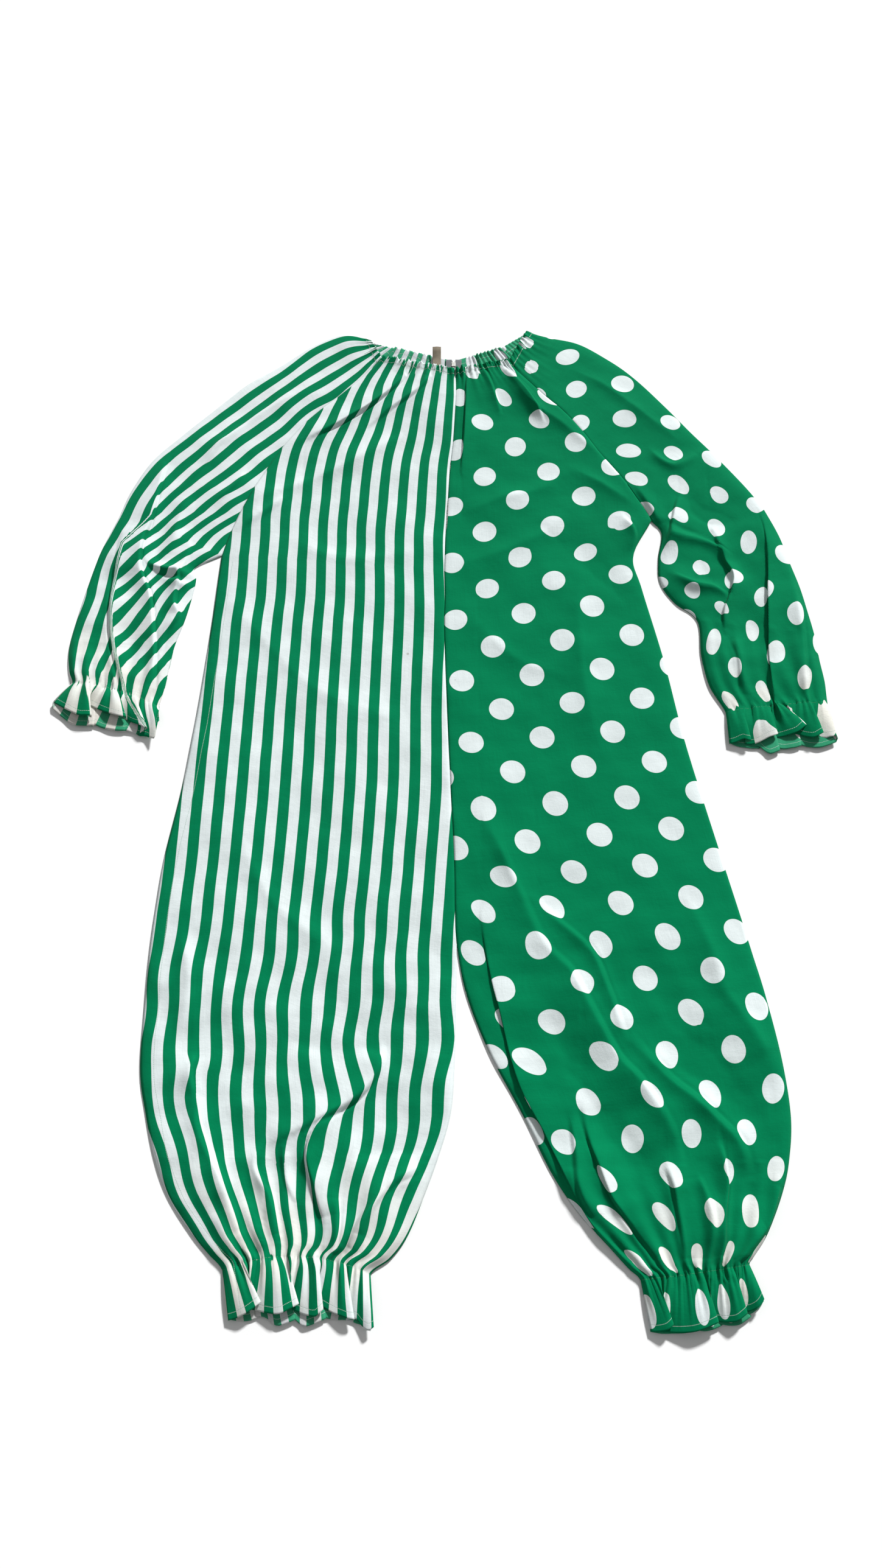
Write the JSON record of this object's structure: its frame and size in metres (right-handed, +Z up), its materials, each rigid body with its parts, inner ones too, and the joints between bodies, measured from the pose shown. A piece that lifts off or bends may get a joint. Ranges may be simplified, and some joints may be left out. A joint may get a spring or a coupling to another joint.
{
  "type": "clown costume",
  "caption": "One-piece clown costume with gathered neck, raglan sleeves, full legs and ruffled cuffs and ankles, one half striped and the other dotted, laid flat on its back.",
  "frame": {"origin": "middle of the footprint, on the surface that the suit lies on", "axes": "+Y from the ankles to the neck, +X to the right as seen from above with the front up, +Z up"},
  "size_m": [1.2019, 1.6755, 0.0191],
  "materials": {
    "striped_cotton": "plain-weave cotton with green and white stripes",
    "dotted_cotton": "plain-weave green cotton with white dots",
    "zip_tape": "grey woven tape",
    "zip_metal": "plated, slightly worn",
    "label_tape": "blank cream tape"
  },
  "bodies": {
    "suit": {"front_stripe": "striped_cotton", "front_dot": "dotted_cotton", "back_stripe": "striped_cotton", "back_dot": "dotted_cotton", "sleeve_stripe": "striped_cotton", "sleeve_dot": "dotted_cotton", "zip_tape_stripe": "zip_tape", "zip_tape_dot": "zip_tape", "zip_slider": "zip_metal", "neck_label": "label_tape"},
    "pull": {"zip_pull": "zip_metal"}
  },
  "joints": [
    {"name": "pull_hinge", "type": "hinge", "parent": "suit", "child": "pull", "pos_m": [0.021, 0.7555, 0.0031], "axis": [1, 0, 0], "range_deg": [0, 170]}
  ]
}
